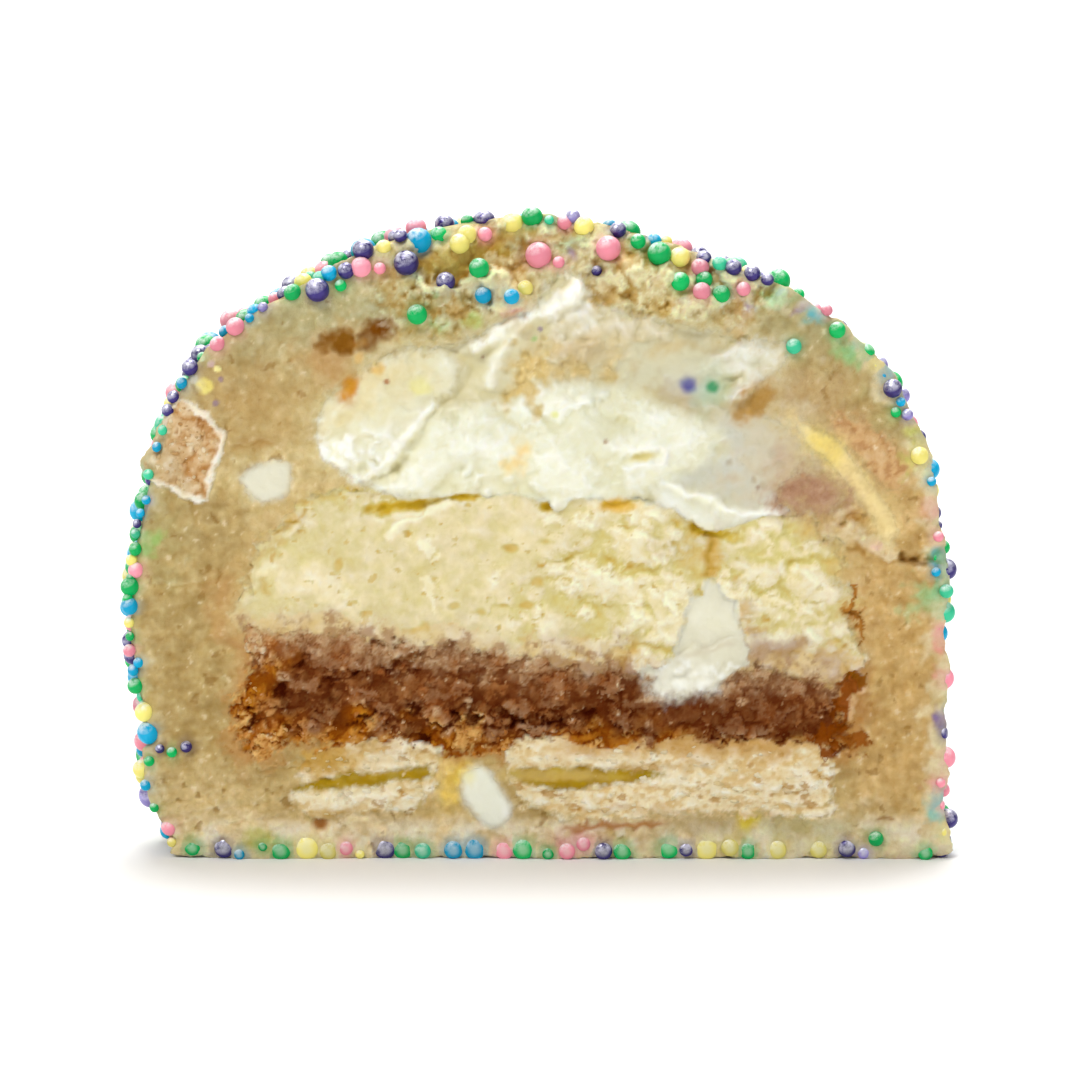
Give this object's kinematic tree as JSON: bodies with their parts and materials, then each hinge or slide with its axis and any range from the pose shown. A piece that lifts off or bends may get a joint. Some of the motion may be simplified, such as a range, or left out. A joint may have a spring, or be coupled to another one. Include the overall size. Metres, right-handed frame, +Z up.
{
  "type": "cheesecake-stuffed cookie half",
  "caption": "Half of a domed cookie cut upright, showing cream, baked cheesecake, crumb crust and a broken sandwich biscuit inside thick dough rolled in sugar pearls.",
  "frame": {"origin": "middle of the half's bounding box, at the flat base it rests on", "axes": "+Z up from the base; +X to the right along the cut as one looks at it; the cut face looks along -Y and the round back lies towards +Y"},
  "size_m": [0.0688, 0.0344, 0.054],
  "materials": {
    "cookie_dough": "matte",
    "cream": "satin",
    "cheesecake": "matte",
    "crumb_crust": "matte",
    "biscuit": "matte",
    "lemon_filling": "gloss",
    "lemon_cream": "matte",
    "white_chip": "satin",
    "biscuit_chunk": "matte",
    "sugar_pearls": "pearl gloss"
  },
  "bodies": {
    "root": {"dough": "cookie_dough", "cream": "cream", "cheesecake": "cheesecake", "crumb_crust": "crumb_crust", "wafer_upper_left": "biscuit", "wafer_upper_right": "biscuit", "wafer_lower_left": "biscuit", "wafer_lower_right": "biscuit", "lemon_filling_left": "lemon_filling", "lemon_filling_right": "lemon_filling", "white_chunk": "white_chip", "white_chip_low": "white_chip", "white_chip_left": "white_chip", "biscuit_chunk_left": "biscuit_chunk", "biscuit_chunk_right": "biscuit_chunk", "biscuit_chunk_inner": "biscuit_chunk", "lemon_cream_right": "lemon_cream"}
  },
  "joints": []
}
